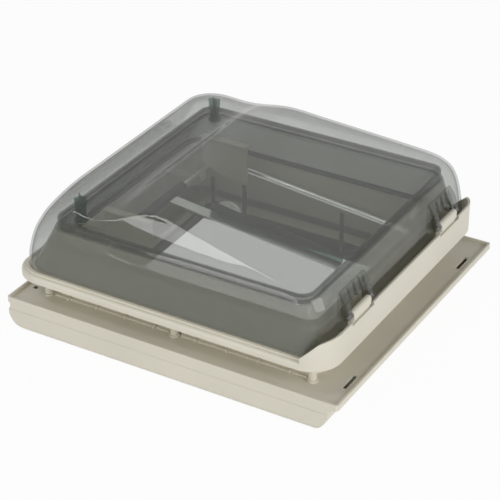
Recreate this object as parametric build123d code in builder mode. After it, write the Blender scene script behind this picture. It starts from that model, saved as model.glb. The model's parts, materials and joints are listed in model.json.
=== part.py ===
from build123d import *

import math
import os

# Driving sizes, in millimetres. The origin is the middle of the ceiling frame on the
# bezel's underside, +X points to the hinges, +Y to the back and +Z up through the roof.

# Shared clearances and the overrun of every cut
cut_over = 5.0
slip_gap = 0.4
seat_gap = 0.3
bore_clearance = 0.05

# Ceiling frame and bezel
frame_length = 480.0
frame_width = 437.0
bezel_height = 30.7
frame_height = 48.0
rim_width = 2.6
rim_depth = 4.7
frame_wall = 3.0
neck_left_step = 4.0
neck_right_step = 12.0
rim_flange_height = 8.0
plan_corner_radius = 3.0
bezel_front_radius = 12.0
bezel_left_step = 1.5
bezel_right_step = 14.0
bezel_end_width = 33.0
bezel_end_drop = 23.0
bezel_end_radius = 35.0
bezel_wall = 3.0
slot_length = 33.0
slot_width = 6.0
slot_across = 159.0
slot_inset = 14.5
corner_slot_length = 8.0

# Roof opening, upstand and towers
roof_centre = -7.5
tower_span = 387.0
tower_span_back = 361.0
tower_middle_offset = -2.5
tower_radius = 5.25
tower_foot_radius = 7.0
tower_foot_height = 2.7
screw_radius = 2.0
screw_head_radius = 4.0
screw_head_height = 2.6
upstand_wall = 3.0
upstand_top = 74.0
upstand_foot_width = 5.0
upstand_foot_height = 2.4
upstand_rib_width = 2.4
upstand_rib_count = 4
upstand_end_margin = 8.5

# Daylight opening and the two screens that cross it
daylight_left = -172.0
daylight_right = 152.0
daylight_half = 152.0
throat_wall = 2.4
cassette_depth = 19.0
cassette_height = 26.0
cassette_wall = 1.6
screen_bar_depth = 10.0
screen_bar_height = 7.0
flyscreen_level = 21.0
blind_level = 8.5
screen_cloth_thickness = 1.2
guide_width = 5.0
guide_wall = 1.5
bar_grip_length = 60.0
bar_grip_depth = 4.0

# Roof frame: flange, ledge and collar
flange_left = -236.2
flange_right = 221.3
flange_half = 215.0
flange_bottom = 78.2
flange_corner_radius = 40.0
lip_top = 87.5
lip_width = 6.0
lip_radius = 4.0
seam_level = 90.0
flange_thickness = 3.2
collar_wall = 3.0
collar_bottom = 52.0
collar_top = 112.0
collar_corner_radius = 20.0
seal_width = 7.0
seal_height = 5.0
seal_lip = 2.0

# Wind deflector on the hinge side
deflector_thickness = 2.8
deflector_top = 119.0
deflector_start = 186.0
deflector_start_top = 95.0
deflector_notch_depth = 4.5
deflector_notch_length = 56.0

# Hinges
hinge_axis_x = 216.0
hinge_axis_z = 126.0
hinge_spacing = 121.0
hinge_block_length = 44.0
hinge_block_width = 8.6
hinge_block_top = 130.6
hinge_pin_radius = 1.6
hinge_knuckle_radius = 3.8
hinge_knuckle_length = 9.0
hinge_base_length = 56.0
hinge_base_thickness = 3.0
hinge_base_top = 157.5
hinge_base_bottom = 141.0
hinge_base_top_x = 205.5
hinge_rib_count = 3
hinge_recess_length = 50.0
hinge_recess_top = 139.0
hinge_arm_width = 6.0

# Lid: outer dome
skin_thickness = 3.0
dome_left = -227.5
dome_right = 213.5
dome_half = 205.5
dome_corner_radius = 33.0
dome_rise = 116.0
dome_hinge_edge = 110.5

# Wall of the dome by height: share of the rise, inset on the left, on the right and at
# the front and back, and the plan radius, the last four as shares of the wall's inset.
wall_inset = 40.0
wall_share = [
    (0.0, 0.0, 0.0, 0.0, 0.0),
    (0.149, 0.024, 0.05, 0.01, 0.0),
    (0.322, 0.144, 0.10, 0.025, 0.02),
    (0.455, 0.30, 0.16, 0.045, 0.05),
    (0.575, 0.47, 0.26, 0.055, 0.10),
    (0.66, 0.60, 0.45, 0.09, 0.15),
    (0.755, 0.80, 0.66, 0.33, 0.25),
    (0.845, 1.02, 0.95, 0.62, 0.40),
    (0.93, 1.28, 1.30, 0.88, 0.50),
    (1.0, 1.60, 1.70, 1.06, 0.60),
    (1.06, 1.95, 2.10, 1.22, 0.65),
]
# Roof of the dome along its length: share of the length, height at the middle and at
# the ridge as shares of the rise, and the ridge's distance as a share of the half width.
roof_share = [
    (0.0, 0.93, 0.80, 0.97),
    (0.109, 0.955, 0.81, 0.95),
    (0.19, 0.92, 0.795, 0.93),
    (0.26, 0.895, 0.80, 0.90),
    (0.325, 0.935, 0.865, 0.86),
    (0.38, 0.985, 0.95, 0.83),
    (0.43, 0.998, 0.972, 0.81),
    (0.50, 0.965, 0.935, 0.82),
    (0.60, 0.940, 0.875, 0.86),
    (0.72, 0.915, 0.80, 0.91),
    (0.85, 0.865, 0.70, 0.97),
    (0.93, 0.825, 0.655, 0.98),
    (1.0, 0.78, 0.62, 0.98),
]

# Shares of the half width where the roof's cross-section is placed, and how fast it falls
crown_share = (0.45, 0.62, 0.74, 0.84, 0.92, 1.0)
crown_power = 5

# Lid: inner skin
tray_left = -185.3
tray_right = 182.0
tray_half = 187.2
tray_floor = 157.0
tray_rim = 162.8
tray_rim_width = 3.0
tray_shoulder = 150.0
tray_shoulder_step = 2.5
tray_corner_radius = 19.0
tray_skin = 2.4
tray_foot_left = 19.0
tray_foot_right = 6.0
tray_foot_rounding = 11.0
tray_hinge_edge = 118.0

# Spacer posts between the two skins
post_x = -158.0
post_y = 161.0
post_height = 35.0
post_radius = 3.4
post_bore_radius = 1.4
post_fin_span = 17.0
post_fin_foot_span = 12.0
post_fin_thickness = 1.4
post_base_radius = 9.0
post_base_height = 1.6

# Opening bow, its pivots on the collar and its rails under the lid
bow_pivot_x = 172.0
bow_pivot_z = 74.0
bow_reach = 316.0
bow_rise = 32.0
bow_half = 146.0
bow_rod_radius = 4.0
bow_bend_radius = 18.0
bow_eye_radius = 7.0
bow_eye_length = 9.0
bow_bracket_height = 26.0
bow_bracket_thickness = 4.0
bow_pin_radius = 2.5
bow_pin_head = 4.5
grip_length = 110.0
grip_radius = 7.5
clip_spacing = 95.0
clip_length = 14.0
clip_wall = 2.5
clip_gap = 1.2
lid_open_degrees = 50.0
bow_open_degrees = 50.7
rail_spacing = 118.0
rail_width = 12.0
rail_thickness = 2.0
rail_overlap = 8.0
rail_slope_share = 1.12

# Stay bar down the middle of the lid
stay_left = -78.0
stay_right = 118.0
stay_y = 20.0
stay_left_top = 119.5
stay_right_top = 92.0
stay_left_height = 15.0
stay_right_height = 9.0
stay_thickness = 3.0
stay_leg_width = 4.5
stay_leg_spacing = 48.0
stay_arch_rise = 17.0
strip_left = -132.0
strip_width = 17.0
strip_thickness = 2.0


def rounded_block(left, right, half, bottom, top, radius):
    """A block with rounded plan corners, made on its own, for use inside a part."""
    with BuildPart() as block:
        with BuildSketch(Plane.XY.offset(bottom)):
            with Locations(((left + right) / 2, 0)):
                RectangleRounded(right - left, 2 * half, radius)
        extrude(amount=top - bottom)
    return block.part


def cylinder_at(x, y, bottom, top, radius):
    """An upright cylinder between two heights."""
    with BuildPart() as rod:
        with BuildSketch(Plane.XY.offset(bottom)):
            with Locations((x, y)):
                Circle(radius)
        extrude(amount=top - bottom)
    return rod.part


def box_between(left, right, front, back, bottom, top):
    """A plain block between six planes."""
    with BuildPart() as block:
        with BuildSketch(Plane.XY.offset(bottom)):
            with Locations(((left + right) / 2, (front + back) / 2)):
                Rectangle(right - left, back - front)
        extrude(amount=top - bottom)
    return block.part


def pin_along_y(x, z, start, end, radius):
    """A round pin parallel to the hinge line."""
    with BuildPart() as rod:
        with BuildSketch(Plane.XZ.offset(-end)):
            with Locations((x, z)):
                Circle(radius)
        extrude(amount=end - start)
    return rod.part


def save(part, name):
    """Label a finished piece and write its file."""
    part.label = name
    export_step(part, f"parts/{name}.step")


os.makedirs("parts", exist_ok=True)

# Places that several pieces share
tower_xs = [
    roof_centre - tower_span / 2,
    roof_centre + tower_middle_offset,
    roof_centre + tower_span / 2,
]
tower_y = tower_span_back / 2
tower_spots = [(x, side * tower_y) for x in tower_xs for side in (-1, 1)]
upstand_half = tower_y - tower_radius - slip_gap
upstand_left = roof_centre - tower_span / 2 - tower_radius + upstand_wall
upstand_right = roof_centre + tower_span / 2 + tower_radius - upstand_wall
collar_left = upstand_left + upstand_wall + slip_gap
collar_right = upstand_right - upstand_wall - slip_gap
collar_half = upstand_half - upstand_wall - slip_gap
floor_top = frame_height - rim_depth
floor_bottom = floor_top - frame_wall

# Ceiling frame: tray with a raised rim, an upstand round the roof opening and the
# bosses that the roof frame's towers stand on
with BuildPart() as ceiling_frame:
    add(
        rounded_block(
            -frame_length / 2,
            frame_length / 2,
            frame_width / 2,
            bezel_height + seat_gap / 2,
            frame_height,
            plan_corner_radius,
        )
    )
    # necks under the rim flange at both ends
    for side, neck_step in ((-1, neck_left_step), (1, neck_right_step)):
        near = side * (frame_length / 2 - neck_step)
        far = side * (frame_length / 2 + cut_over)
        add(
            box_between(
                min(near, far),
                max(near, far),
                -frame_width / 2 - cut_over,
                frame_width / 2 + cut_over,
                bezel_height - cut_over,
                frame_height - rim_flange_height,
            ),
            mode=Mode.SUBTRACT,
        )
    # tray floor inside the rim
    add(
        rounded_block(
            -frame_length / 2 + rim_width,
            frame_length / 2 - rim_width,
            frame_width / 2 - rim_width,
            floor_top,
            frame_height + cut_over,
            plan_corner_radius / 2,
        ),
        mode=Mode.SUBTRACT,
    )
    # hollow underside
    add(
        rounded_block(
            -frame_length / 2 + neck_left_step + frame_wall,
            frame_length / 2 - neck_right_step - frame_wall,
            frame_width / 2 - frame_wall,
            bezel_height - cut_over,
            floor_bottom,
            plan_corner_radius / 2,
        ),
        mode=Mode.SUBTRACT,
    )
    add(
        rounded_block(
            upstand_left,
            upstand_right,
            upstand_half,
            floor_bottom,
            upstand_top,
            collar_corner_radius + upstand_wall,
        )
    )
    # low step at the upstand's foot between the towers
    for side in (-1, 1):
        for start, end in ((tower_xs[0], tower_xs[1]), (tower_xs[1], tower_xs[2])):
            step_left = start + upstand_end_margin
            step_right = end - upstand_end_margin
            near = side * (upstand_half - upstand_wall / 2)
            far = side * (upstand_half + upstand_foot_width)
            add(
                box_between(
                    step_left,
                    step_right,
                    min(near, far),
                    max(near, far),
                    floor_bottom,
                    floor_top + upstand_foot_height,
                )
            )
            # upright ribs spread along each step
            pitch = (step_right - step_left) / upstand_rib_count
            for number in range(upstand_rib_count):
                middle = step_left + pitch * (number + 1 / 2)
                add(
                    box_between(
                        middle - upstand_rib_width / 2,
                        middle + upstand_rib_width / 2,
                        min(near, far + side * upstand_rib_width),
                        max(near, far + side * upstand_rib_width),
                        floor_bottom,
                        floor_top + upstand_foot_height * 2,
                    )
                )
    for x, y in tower_spots:
        add(
            cylinder_at(
                x, y, floor_bottom, floor_top + tower_foot_height, tower_foot_radius
            )
        )
    # opening through the upstand
    add(
        rounded_block(
            upstand_left + upstand_wall,
            upstand_right - upstand_wall,
            upstand_half - upstand_wall,
            bezel_height - cut_over,
            upstand_top + cut_over,
            collar_corner_radius,
        ),
        mode=Mode.SUBTRACT,
    )
    # screw holes through the bosses
    for x, y in tower_spots:
        add(
            cylinder_at(
                x,
                y,
                bezel_height - cut_over,
                frame_height + cut_over,
                screw_radius + slip_gap,
            ),
            mode=Mode.SUBTRACT,
        )
    # drain slots: two at the hinge end, two short ones at the far end
    for side in (-1, 1):
        add(
            box_between(
                frame_length / 2 - slot_inset - slot_width / 2,
                frame_length / 2 - slot_inset + slot_width / 2,
                side * slot_across - slot_length / 2,
                side * slot_across + slot_length / 2,
                floor_bottom - cut_over,
                floor_top + cut_over,
            ),
            mode=Mode.SUBTRACT,
        )
        add(
            box_between(
                -frame_length / 2 + slot_inset - slot_width / 2,
                -frame_length / 2 + slot_inset + slot_width / 2,
                side * (slot_across + slot_length / 2) - corner_slot_length / 2,
                side * (slot_across + slot_length / 2) + corner_slot_length / 2,
                floor_bottom - cut_over,
                floor_top + cut_over,
            ),
            mode=Mode.SUBTRACT,
        )
save(ceiling_frame.part, "ceiling_frame")

# Bezel seen from inside the caravan: rounded ends, a flat face and the throat wall
# round the daylight opening


def bezel_form(inset, bottom, top):
    """The bezel's outer form drawn in by a wall, between two heights."""
    left = -frame_length / 2 + bezel_left_step + inset
    right = frame_length / 2 - bezel_right_step - inset
    half_width = frame_width / 2 - inset
    with BuildPart() as form:
        with BuildSketch(Plane.XZ.offset(-half_width)):
            with BuildLine():
                Line((left, top), (right, top))
                Line((right, top), (right, bezel_end_drop + bottom))
                RadiusArc(
                    (right, bezel_end_drop + bottom),
                    (right - bezel_end_width, bottom),
                    bezel_end_radius,
                )
                Line(
                    (right - bezel_end_width, bottom),
                    (left + bezel_end_width, bottom),
                )
                RadiusArc(
                    (left + bezel_end_width, bottom),
                    (left, bezel_end_drop + bottom),
                    bezel_end_radius,
                )
                Line((left, bezel_end_drop + bottom), (left, top))
            make_face()
        extrude(amount=2 * half_width)
        with BuildSketch(Plane.YZ.offset(left)):
            with BuildLine():
                Line((-half_width, top), (half_width, top))
                Line((half_width, top), (half_width, bezel_front_radius + bottom))
                RadiusArc(
                    (half_width, bezel_front_radius + bottom),
                    (half_width - bezel_front_radius, bottom),
                    bezel_front_radius,
                )
                Line(
                    (half_width - bezel_front_radius, bottom),
                    (-half_width + bezel_front_radius, bottom),
                )
                RadiusArc(
                    (-half_width + bezel_front_radius, bottom),
                    (-half_width, bezel_front_radius + bottom),
                    bezel_front_radius,
                )
                Line((-half_width, bezel_front_radius + bottom), (-half_width, top))
            make_face()
        extrude(amount=right - left, mode=Mode.INTERSECT)
    return form.part


with BuildPart() as ceiling_bezel:
    add(bezel_form(0, 0, bezel_height - seat_gap / 2))
    add(bezel_form(bezel_wall, bezel_wall, bezel_height + cut_over), mode=Mode.SUBTRACT)
    # throat wall round the daylight opening
    add(
        box_between(
            daylight_left - throat_wall,
            daylight_right + throat_wall,
            -daylight_half - throat_wall,
            daylight_half + throat_wall,
            0,
            bezel_wall + guide_wall,
        )
    )
    add(
        box_between(
            daylight_left,
            daylight_right,
            -daylight_half,
            daylight_half,
            -cut_over,
            bezel_height + cut_over,
        ),
        mode=Mode.SUBTRACT,
    )
save(ceiling_bezel.part, "ceiling_bezel")

# Screens: side guides, cassettes, end bars and cloths
screen_level_top = cassette_height + bezel_wall


def cassette(side):
    """An open box along the daylight opening's edge, its mouth towards the middle."""
    near = side * (daylight_half + slip_gap)
    far = side * (daylight_half + slip_gap + cassette_depth)
    bottom = bezel_wall + guide_wall
    with BuildPart() as case:
        add(
            box_between(
                daylight_left,
                daylight_right,
                min(near, far),
                max(near, far),
                bottom,
                screen_level_top,
            )
        )
        mouth = side * (daylight_half - cut_over)
        wall = side * (daylight_half + slip_gap + cassette_depth - cassette_wall)
        add(
            box_between(
                daylight_left + cassette_wall,
                daylight_right - cassette_wall,
                min(mouth, wall),
                max(mouth, wall),
                bottom + cassette_wall,
                screen_level_top - cassette_wall,
            ),
            mode=Mode.SUBTRACT,
        )
    return case.part


def screen_bar(near, level, side):
    """A screen's end bar with its grip lip, the near face at a given distance."""
    far = near + side * screen_bar_depth
    with BuildPart() as bar:
        add(
            box_between(
                daylight_left + guide_wall + slip_gap,
                daylight_right - guide_wall - slip_gap,
                min(near, far),
                max(near, far),
                level - screen_bar_height / 2,
                level + screen_bar_height / 2,
            )
        )
        grip_middle = (daylight_left + daylight_right) / 2
        add(
            box_between(
                grip_middle - bar_grip_length / 2,
                grip_middle + bar_grip_length / 2,
                min(near, far),
                max(near, far),
                level - screen_bar_height / 2 - bar_grip_depth,
                level,
            )
        )
    return bar.part


with BuildPart() as flyscreen_cassette:
    add(cassette(1))
save(flyscreen_cassette.part, "flyscreen_cassette")

with BuildPart() as blind_cassette:
    add(cassette(-1))
save(blind_cassette.part, "blind_cassette")

flyscreen_bar_near = -daylight_half + slip_gap
with BuildPart() as flyscreen_bar:
    add(screen_bar(flyscreen_bar_near, flyscreen_level, 1))
save(flyscreen_bar.part, "flyscreen_bar")

with BuildPart() as flyscreen_cloth:
    add(
        box_between(
            daylight_left + guide_wall + slip_gap,
            daylight_right - guide_wall - slip_gap,
            flyscreen_bar_near + screen_bar_depth,
            daylight_half + slip_gap + cassette_depth - cassette_wall,
            flyscreen_level - screen_cloth_thickness / 2,
            flyscreen_level + screen_cloth_thickness / 2,
        )
    )
save(flyscreen_cloth.part, "flyscreen_cloth")

blind_bar_near = -daylight_half + slip_gap
with BuildPart() as blind_bar:
    add(screen_bar(blind_bar_near, blind_level, 1))
save(blind_bar.part, "blind_bar")

with BuildPart() as blind_cloth:
    add(
        box_between(
            daylight_left + guide_wall + slip_gap,
            daylight_right - guide_wall - slip_gap,
            -daylight_half - slip_gap - cassette_depth + cassette_wall,
            blind_bar_near,
            bezel_wall + guide_wall + cassette_wall + slip_gap,
            blind_level + screen_bar_height / 2,
        )
    )
save(blind_cloth.part, "blind_cloth")


def screen_guide(edge, side):
    """An upright guide beside the screens' ends with a shelf between the two levels."""
    outer = edge + side * guide_width
    shelf = edge - side * guide_wall
    middle = (flyscreen_level + blind_level) / 2
    with BuildPart() as guide:
        add(
            box_between(
                min(edge, outer),
                max(edge, outer),
                -daylight_half,
                daylight_half,
                bezel_wall + guide_wall,
                screen_level_top,
            )
        )
        add(
            box_between(
                min(outer, shelf),
                max(outer, shelf),
                -daylight_half,
                daylight_half,
                middle - guide_wall / 2,
                middle + guide_wall / 2,
            )
        )
    return guide.part


with BuildPart() as screen_guide_left:
    add(screen_guide(daylight_left, -1))
save(screen_guide_left.part, "screen_guide_left")

with BuildPart() as screen_guide_right:
    add(screen_guide(daylight_right, 1))
save(screen_guide_right.part, "screen_guide_right")

# Roof frame: flange with a rounded lip, a ledge for the lid and the collar through
# the roof
with BuildPart() as roof_frame:
    flange_middle = (flange_left + flange_right) / 2
    with BuildSketch(Plane.XY.offset(flange_bottom)):
        with Locations((flange_middle, 0)):
            RectangleRounded(
                flange_right - flange_left, 2 * flange_half, flange_corner_radius
            )
    extrude(amount=lip_top - flange_bottom)
    fillet(
        roof_frame.edges().group_by(Axis.Z)[-1], radius=lip_radius
    )
    # raised ledge inside the lip, on which the lid closes
    add(
        rounded_block(
            flange_left + lip_width,
            flange_right - lip_width,
            flange_half - lip_width,
            lip_top,
            seam_level,
            flange_corner_radius - lip_width,
        )
    )
    # hollow under the ledge
    add(
        rounded_block(
            flange_left + flange_thickness,
            flange_right - flange_thickness,
            flange_half - flange_thickness,
            flange_bottom - cut_over,
            seam_level - flange_thickness,
            flange_corner_radius - flange_thickness,
        ),
        mode=Mode.SUBTRACT,
    )
    add(
        rounded_block(
            collar_left,
            collar_right,
            collar_half,
            collar_bottom,
            collar_top,
            collar_corner_radius - slip_gap,
        )
    )
    add(
        rounded_block(
            collar_left + collar_wall,
            collar_right - collar_wall,
            collar_half - collar_wall,
            collar_bottom - cut_over,
            collar_top + cut_over,
            collar_corner_radius - slip_gap - collar_wall,
        ),
        mode=Mode.SUBTRACT,
    )
    for x, y in tower_spots:
        add(
            cylinder_at(
                x,
                y,
                floor_top + tower_foot_height,
                seam_level - flange_thickness / 2,
                tower_radius,
            )
        )
        add(
            cylinder_at(
                x,
                y,
                floor_top,
                seam_level - flange_thickness,
                screw_radius + bore_clearance,
            ),
            mode=Mode.SUBTRACT,
        )
save(roof_frame.part, "roof_frame")

# Screws that clamp the ceiling frame to the towers
with BuildPart() as mounting_screws:
    for x, y in tower_spots:
        add(
            cylinder_at(
                x,
                y,
                floor_bottom - screw_head_height,
                floor_bottom - bore_clearance,
                screw_head_radius,
            )
        )
        add(
            cylinder_at(
                x,
                y,
                floor_bottom - screw_head_height,
                seam_level - 2 * flange_thickness,
                screw_radius,
            )
        )
save(mounting_screws.part, "mounting_screws")

# Seal on the collar's top edge, a bulb with a small lip
with BuildPart() as lid_seal:
    seal_out = (seal_width - collar_wall) / 2
    add(
        rounded_block(
            collar_left - seal_out,
            collar_right + seal_out,
            collar_half + seal_out,
            collar_top,
            collar_top + seal_height,
            collar_corner_radius + seal_out,
        )
    )
    fillet(lid_seal.edges().group_by(Axis.Z)[-1], radius=seal_lip)
    add(
        rounded_block(
            collar_left + collar_wall + seal_out,
            collar_right - collar_wall - seal_out,
            collar_half - collar_wall - seal_out,
            collar_top - cut_over,
            collar_top + seal_height + cut_over,
            collar_corner_radius - collar_wall - seal_out,
        ),
        mode=Mode.SUBTRACT,
    )
save(lid_seal.part, "lid_seal")

# Wind deflector: a thin wall standing on the lip, its top sloping down at the front
deflector_out = flange_right
deflector_half = flange_half
deflector_radius = flange_corner_radius
with BuildPart() as wind_deflector:
    add(
        rounded_block(
            flange_left,
            deflector_out,
            deflector_half,
            lip_top - lip_radius,
            deflector_top,
            deflector_radius,
        )
    )
    add(
        rounded_block(
            flange_left,
            deflector_out - deflector_thickness,
            deflector_half - deflector_thickness,
            lip_top - lip_radius - cut_over,
            deflector_top + cut_over,
            deflector_radius - deflector_thickness,
        ),
        mode=Mode.SUBTRACT,
    )
    add(
        box_between(
            flange_left - cut_over,
            deflector_start - seat_gap,
            -flange_half - cut_over,
            flange_half + cut_over,
            lip_top - lip_radius - cut_over,
            deflector_top + cut_over,
        ),
        mode=Mode.SUBTRACT,
    )
    # seat on the lip
    add(roof_frame.part, mode=Mode.SUBTRACT)
    # sloping tops at both ends
    with BuildSketch(Plane.XZ.offset(-flange_half - cut_over)):
        with BuildLine():
            corner_x = deflector_out - lip_radius / 2
            Line(
                (deflector_start - cut_over, deflector_start_top - cut_over),
                (corner_x - deflector_radius / 3, deflector_top - lip_radius),
            )
            RadiusArc(
                (corner_x - deflector_radius / 3, deflector_top - lip_radius),
                (corner_x, deflector_top),
                deflector_radius,
            )
            Line((corner_x, deflector_top), (corner_x, deflector_top + cut_over))
            Line(
                (corner_x, deflector_top + cut_over),
                (deflector_start - cut_over, deflector_top + cut_over),
            )
            Line(
                (deflector_start - cut_over, deflector_top + cut_over),
                (deflector_start - cut_over, deflector_start_top - cut_over),
            )
        make_face()
    extrude(amount=2 * flange_half + 2 * cut_over, mode=Mode.SUBTRACT)
    # shallow recesses beside the hinge blocks
    for side in (-1, 1):
        add(
            box_between(
                deflector_out - 2 * deflector_thickness,
                deflector_out + cut_over,
                side * hinge_spacing - deflector_notch_length / 2,
                side * hinge_spacing + deflector_notch_length / 2,
                deflector_top - deflector_notch_depth,
                deflector_top + cut_over,
            ),
            mode=Mode.SUBTRACT,
        )
save(wind_deflector.part, "wind_deflector")

# Outer dome: a curved wall closed by a wavy roof, hollowed by its own wall
dome_length = dome_right - dome_left


def dome_form(inset):
    """The dome's form drawn in by a wall: the wall's loft cut by the roof's loft."""
    with BuildPart() as walls:
        for rise, left, right, sides, rounding in wall_share:
            with BuildSketch(Plane.XY.offset(seam_level + rise * dome_rise)):
                low = dome_left + left * wall_inset + inset
                high = dome_right - right * wall_inset - inset
                half = dome_half - sides * wall_inset - inset
                with Locations(((low + high) / 2, 0)):
                    RectangleRounded(
                        high - low,
                        2 * half,
                        dome_corner_radius - inset + rounding * wall_inset,
                    )
        loft()
    with BuildPart() as roof:
        for place, middle, ridge, out in roof_share:
            edge = dome_half + cut_over
            drop = (middle - ridge) * dome_rise
            crown = seam_level + middle * dome_rise - inset
            half_arch = [
                (edge * share, crown - drop * (edge * share / (out * dome_half)) ** crown_power)
                for share in crown_share
            ]
            arch = [(-y, z) for y, z in reversed(half_arch)] + [(0, crown)] + half_arch
            foot = seam_level - cut_over
            with BuildSketch(
                Plane.YZ.offset(dome_left - cut_over + place * (dome_length + 2 * cut_over))
            ):
                with BuildLine():
                    Spline(*arch)
                    Polyline(arch[-1], (edge, foot), (-edge, foot), arch[0])
                make_face()
        loft()
    return walls.part & roof.part


dome_solid = dome_form(0)
dome_hollow = dome_form(skin_thickness)
with BuildPart() as outer_dome:
    add(dome_solid)
    add(dome_hollow, mode=Mode.SUBTRACT)
    # open bottom edge
    add(
        box_between(
            dome_left - cut_over,
            dome_right + cut_over,
            -dome_half - cut_over,
            dome_half + cut_over,
            seam_level - cut_over,
            seam_level + seat_gap,
        ),
        mode=Mode.SUBTRACT,
    )
    # raised lower edge along the hinge side
    add(
        box_between(
            dome_right - 5 * skin_thickness,
            dome_right + cut_over,
            -dome_half + dome_corner_radius,
            dome_half - dome_corner_radius,
            seam_level - cut_over,
            dome_hinge_edge,
        ),
        mode=Mode.SUBTRACT,
    )
    # recesses round the hinge blocks
    for side in (-1, 1):
        add(
            box_between(
                dome_right - 5 * skin_thickness,
                dome_right + cut_over,
                side * hinge_spacing - hinge_recess_length / 2,
                side * hinge_spacing + hinge_recess_length / 2,
                seam_level,
                hinge_recess_top,
            ),
            mode=Mode.SUBTRACT,
        )
save(outer_dome.part, "outer_dome")

# Inner skin: a tray with a raised rim above a skirt that widens down to the ledge
with BuildPart() as inner_skin:
    skirt_out = dome_half - skin_thickness - slip_gap - tray_half
    for rise_from_tray, out, level in (
        (skirt_out, 1, seam_level + seat_gap),
        (tray_shoulder_step, 0, tray_shoulder),
    ):
        with BuildSketch(Plane.XY.offset(level)):
            low = tray_left - rise_from_tray - out * tray_foot_left
            high = tray_right + rise_from_tray + out * tray_foot_right
            with Locations(((low + high) / 2, 0)):
                RectangleRounded(
                    high - low,
                    2 * (tray_half + rise_from_tray),
                    tray_corner_radius + out * tray_foot_rounding,
                )
    loft()
    for rise_from_tray, out, level in (
        (skirt_out - tray_skin, 1, seam_level + seat_gap),
        (tray_shoulder_step - tray_skin, 0, tray_shoulder),
    ):
        with BuildSketch(Plane.XY.offset(level)):
            low = tray_left - rise_from_tray - out * tray_foot_left
            high = tray_right + rise_from_tray + out * tray_foot_right
            with Locations(((low + high) / 2, 0)):
                RectangleRounded(
                    high - low,
                    2 * (tray_half + rise_from_tray),
                    tray_corner_radius - tray_skin + out * tray_foot_rounding,
                )
    loft(mode=Mode.SUBTRACT)
    add(
        rounded_block(
            tray_left - tray_shoulder_step,
            tray_right + tray_shoulder_step,
            tray_half + tray_shoulder_step,
            tray_shoulder - tray_skin,
            tray_shoulder,
            tray_corner_radius,
        )
    )
    add(
        rounded_block(
            tray_left,
            tray_right,
            tray_half,
            tray_shoulder - tray_skin,
            tray_rim,
            tray_corner_radius,
        )
    )
    add(
        rounded_block(
            tray_left + tray_rim_width,
            tray_right - tray_rim_width,
            tray_half - tray_rim_width,
            tray_floor,
            tray_rim + cut_over,
            tray_corner_radius - tray_rim_width,
        ),
        mode=Mode.SUBTRACT,
    )
    add(
        rounded_block(
            tray_left + tray_skin,
            tray_right - tray_skin,
            tray_half - tray_skin,
            tray_shoulder - cut_over,
            tray_floor - tray_skin,
            tray_corner_radius - tray_skin,
        ),
        mode=Mode.SUBTRACT,
    )
    # raised lower edge on the hinge side, clear of the collar as the lid swings
    add(
        box_between(
            tray_right + tray_skin,
            dome_right + cut_over,
            -tray_half + tray_skin,
            tray_half - tray_skin,
            seam_level - cut_over,
            tray_hinge_edge,
        ),
        mode=Mode.SUBTRACT,
    )
    # holes under the spacer posts
    for side in (-1, 1):
        add(
            cylinder_at(
                post_x,
                side * post_y,
                tray_floor - tray_skin - cut_over,
                tray_floor + cut_over,
                post_bore_radius,
            ),
            mode=Mode.SUBTRACT,
        )
save(inner_skin.part, "inner_skin")


def spacer_post(y):
    """A bored post with a round foot and four fins that widen towards the top."""
    top = tray_floor + post_height
    with BuildPart() as post:
        add(cylinder_at(post_x, y, tray_floor, top, post_radius))
        add(
            cylinder_at(
                post_x, y, tray_floor, tray_floor + post_base_height, post_base_radius
            )
        )
        for turn in (45, 135):
            across = (math.cos(math.radians(turn)), math.sin(math.radians(turn)), 0)
            through = (across[1], -across[0], 0)
            with BuildSketch(
                Plane(origin=(post_x, y, tray_floor), x_dir=across, z_dir=through)
            ):
                with BuildLine():
                    Polyline(
                        (-post_fin_foot_span / 2, 0),
                        (post_fin_foot_span / 2, 0),
                        (post_fin_span / 2, post_height),
                        (-post_fin_span / 2, post_height),
                        close=True,
                    )
                make_face()
            extrude(amount=post_fin_thickness / 2, both=True)
        add(
            cylinder_at(post_x, y, tray_floor, top + cut_over, post_bore_radius),
            mode=Mode.SUBTRACT,
        )
    return post.part


with BuildPart() as spacer_post_front:
    add(spacer_post(-post_y))
    add(dome_hollow, mode=Mode.INTERSECT)
save(spacer_post_front.part, "spacer_post_front")

with BuildPart() as spacer_post_back:
    add(spacer_post(post_y))
    add(dome_hollow, mode=Mode.INTERSECT)
save(spacer_post_back.part, "spacer_post_back")

# Screws that pull the inner skin onto the posts
with BuildPart() as post_screws:
    for side in (-1, 1):
        bottom = tray_floor - tray_skin
        add(
            cylinder_at(
                post_x,
                side * post_y,
                bottom - screw_head_height,
                bottom,
                screw_head_radius,
            )
        )
        add(
            cylinder_at(
                post_x,
                side * post_y,
                bottom - screw_head_height,
                tray_floor + post_height / 2,
                post_bore_radius,
            )
        )
save(post_screws.part, "post_screws")


# Hinges: a block on the roof frame, a pin through it and a base on the lid
def hinge_block(y):
    """A rounded block behind the deflector with the pin's bore near its top."""
    left = hinge_axis_x - hinge_block_width / 2
    right = hinge_axis_x + hinge_block_width / 2
    front = y - hinge_block_length / 2
    back = y + hinge_block_length / 2
    with BuildPart() as block:
        add(box_between(left, right, front, back, deflector_top, hinge_block_top))
        fillet(
            block.edges().filter_by(Axis.Y).group_by(Axis.Z)[-1],
            radius=hinge_block_width / 2 - slip_gap,
        )
        add(
            box_between(
                left,
                deflector_out - deflector_thickness - slip_gap,
                front,
                back,
                lip_top,
                deflector_top,
            )
        )
        add(roof_frame.part, mode=Mode.SUBTRACT)
        add(
            pin_along_y(
                hinge_axis_x,
                hinge_axis_z,
                front - cut_over,
                back + cut_over,
                hinge_pin_radius,
            ),
            mode=Mode.SUBTRACT,
        )
    return block.part


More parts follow.
